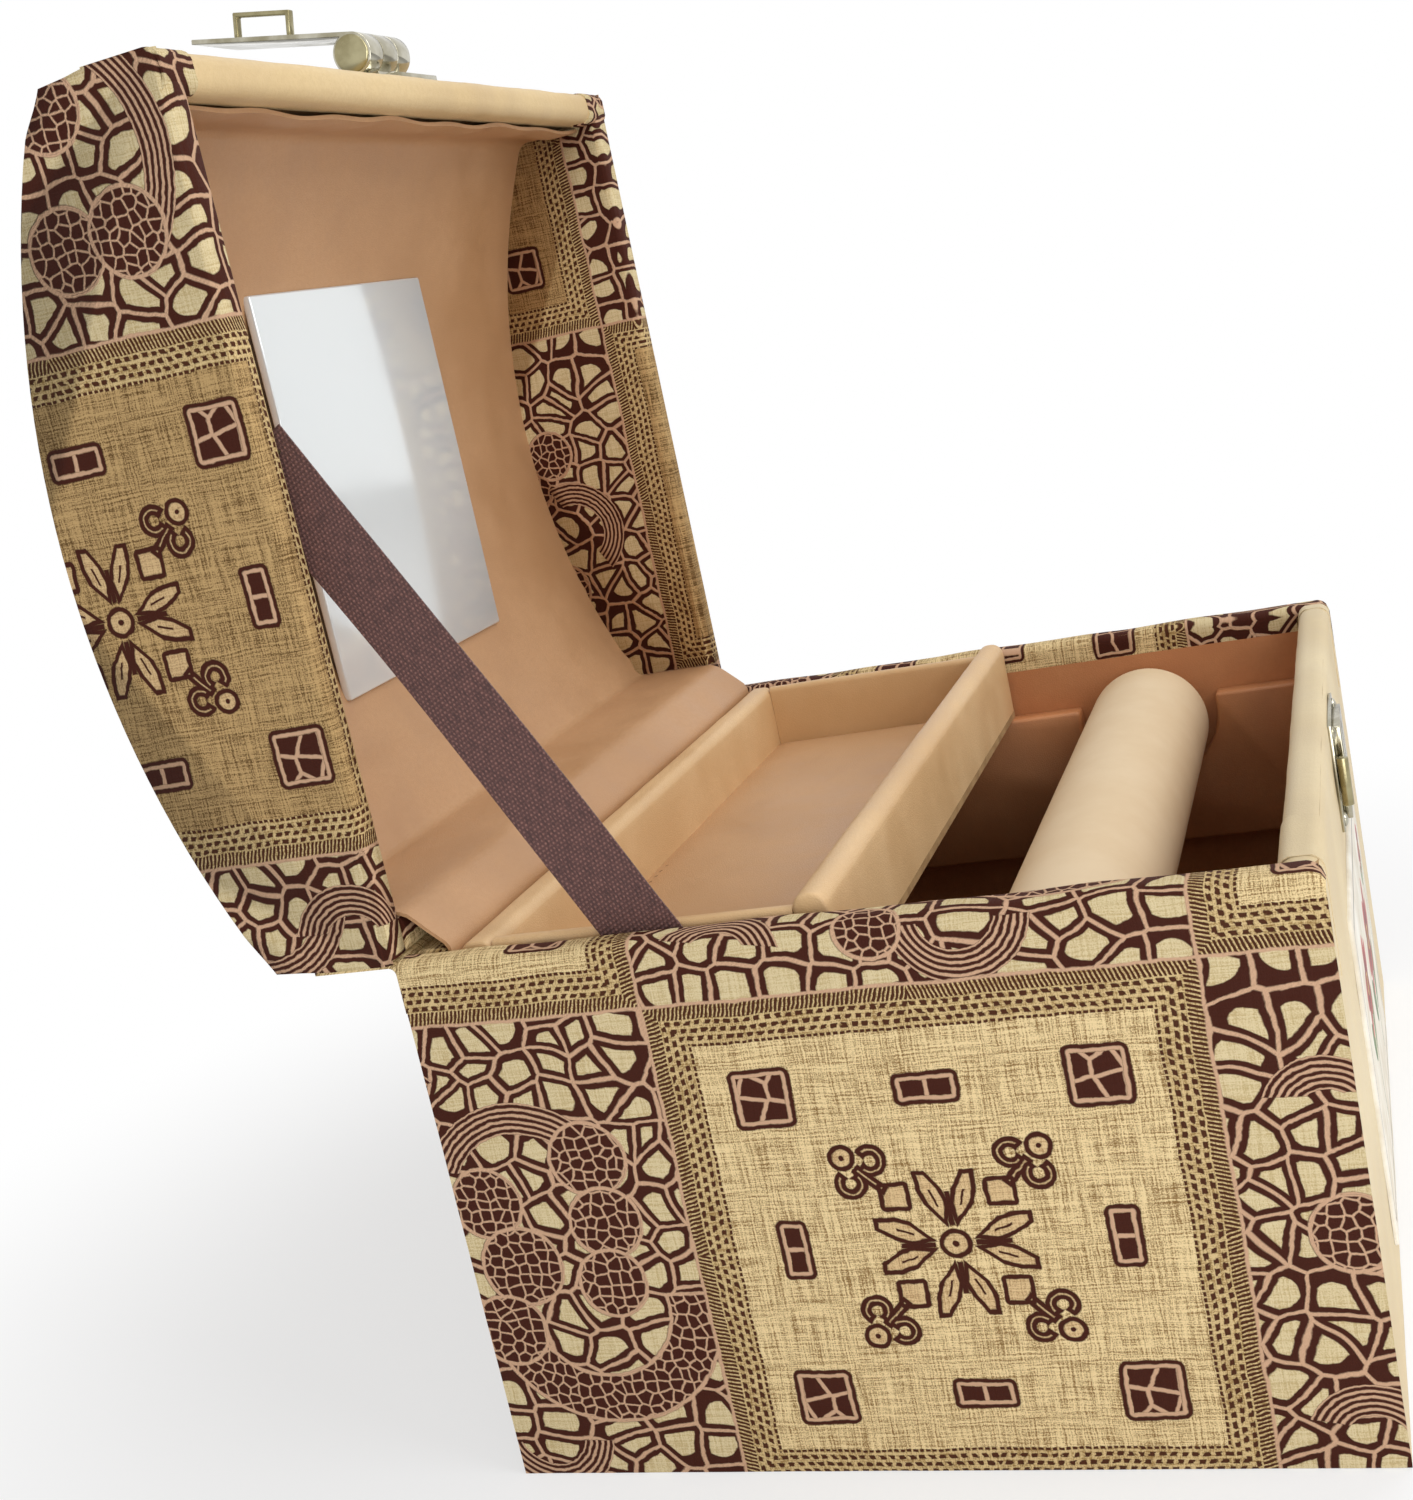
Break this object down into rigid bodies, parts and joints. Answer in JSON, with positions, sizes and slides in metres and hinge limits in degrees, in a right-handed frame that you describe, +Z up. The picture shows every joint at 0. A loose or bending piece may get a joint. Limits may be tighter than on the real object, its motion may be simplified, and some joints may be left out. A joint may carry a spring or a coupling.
{
  "type": "vanity box with mirror",
  "caption": "Cloth-covered wooden vanity box with a domed lid, glued-in mirror, ribbon stay, lift-out tray, bangle roll in notched rests, and a flip-over hasp clasp.",
  "frame": {"origin": "middle of the underside of the base", "axes": "+X to the right as seen from the front, across the width; +Y to the back, where the lid is hinged; +Z up"},
  "size_m": [0.31, 0.3106, 0.4206],
  "materials": {
    "board": "raw medium-density board, hidden under its cloth",
    "brocade": "brown and gold woven brocade with raised tan cords",
    "cream_leatherette": "cream leatherette, finely grained, satin",
    "tan_lining": "tan leatherette lining, satin",
    "paper": "dark brown backing paper",
    "felt": "maroon felt",
    "velour": "cream velour with a soft nap",
    "card": "spiral-wound card tube",
    "picture": "printed panel, pale ground with a flower",
    "nickel": "nickel-plated steel, polished",
    "brass": "pale brass plating, polished",
    "ribbon": "mauve-brown grosgrain ribbon",
    "mirror_glass": "silvered float glass with plain edges",
    "pad": "layered grey-brown card pad"
  },
  "bodies": {
    "base": {"base_bottom_board": "board", "base_bottom_paper": "paper", "base_front_board": "board", "base_back_board": "board", "base_left_board": "board", "base_right_board": "board", "base_left_cover": "brocade", "base_right_cover": "brocade", "base_front_cover": "cream_leatherette", "base_back_cover": "brocade", "base_floor_felt": "felt", "base_front_lining": "tan_lining", "base_back_lining": "tan_lining", "base_left_lining": "tan_lining", "base_right_lining": "tan_lining", "roll_rest_left": "tan_lining", "roll_rest_right": "tan_lining", "picture_panel": "picture", "lock_plate": "nickel", "lock_case": "nickel", "lock_screws": "nickel", "base_tacks": "brass", "hinge_flap": "tan_lining", "hinge_cloth": "brocade", "ribbon": "ribbon"},
    "lock_bolt": {"lock_bolt": "brass"},
    "tray": {"tray_floor": "board", "tray_front_wall": "cream_leatherette", "tray_back_wall": "cream_leatherette", "tray_left_wall": "cream_leatherette", "tray_right_wall": "cream_leatherette", "tray_lining": "tan_lining"},
    "bangle_roll": {"roll_tube": "card", "roll_cover": "velour", "roll_cap_left": "velour", "roll_cap_right": "velour"},
    "lid": {"lid_front_board": "board", "lid_back_board": "board", "lid_left_board": "board", "lid_right_board": "board", "lid_top_panel": "board", "lid_top_cover": "brocade", "lid_left_cover": "brocade", "lid_right_cover": "brocade", "lid_front_cover": "cream_leatherette", "lid_back_cover": "brocade", "lid_lining": "tan_lining", "mirror": "mirror_glass", "mirror_backing": "pad", "hasp_leaf": "nickel", "hasp_screws": "nickel", "lid_tacks": "brass"},
    "hasp": {"hasp_strap": "nickel", "hasp_staple": "brass", "hasp_pin": "brass"}
  },
  "joints": [
    {"name": "lid_hinge", "type": "hinge", "parent": "base", "child": "lid", "pos_m": [0, 0.1175, 0.152], "axis": [1, 0, 0], "range_deg": [0, 90], "deforming": ["ribbon", "hinge_flap", "hinge_cloth"]},
    {"name": "tray_lift", "type": "slide", "parent": "base", "child": "tray", "axis": [0, 0, -1], "range_m": [-0.12, 0]},
    {"name": "roll_lift", "type": "slide", "parent": "base", "child": "bangle_roll", "axis": [0, 0, -1], "range_m": [-0.1, 0]},
    {"name": "hasp_turn", "type": "hinge", "parent": "lid", "child": "hasp", "pos_m": [0, 0.1355, 0.397], "axis": [1, 0, 0], "range_deg": [0, 169]},
    {"name": "bolt_slide", "type": "slide", "parent": "base", "child": "lock_bolt", "axis": [1, 0, 0], "range_m": [0, 0.006]}
  ]
}
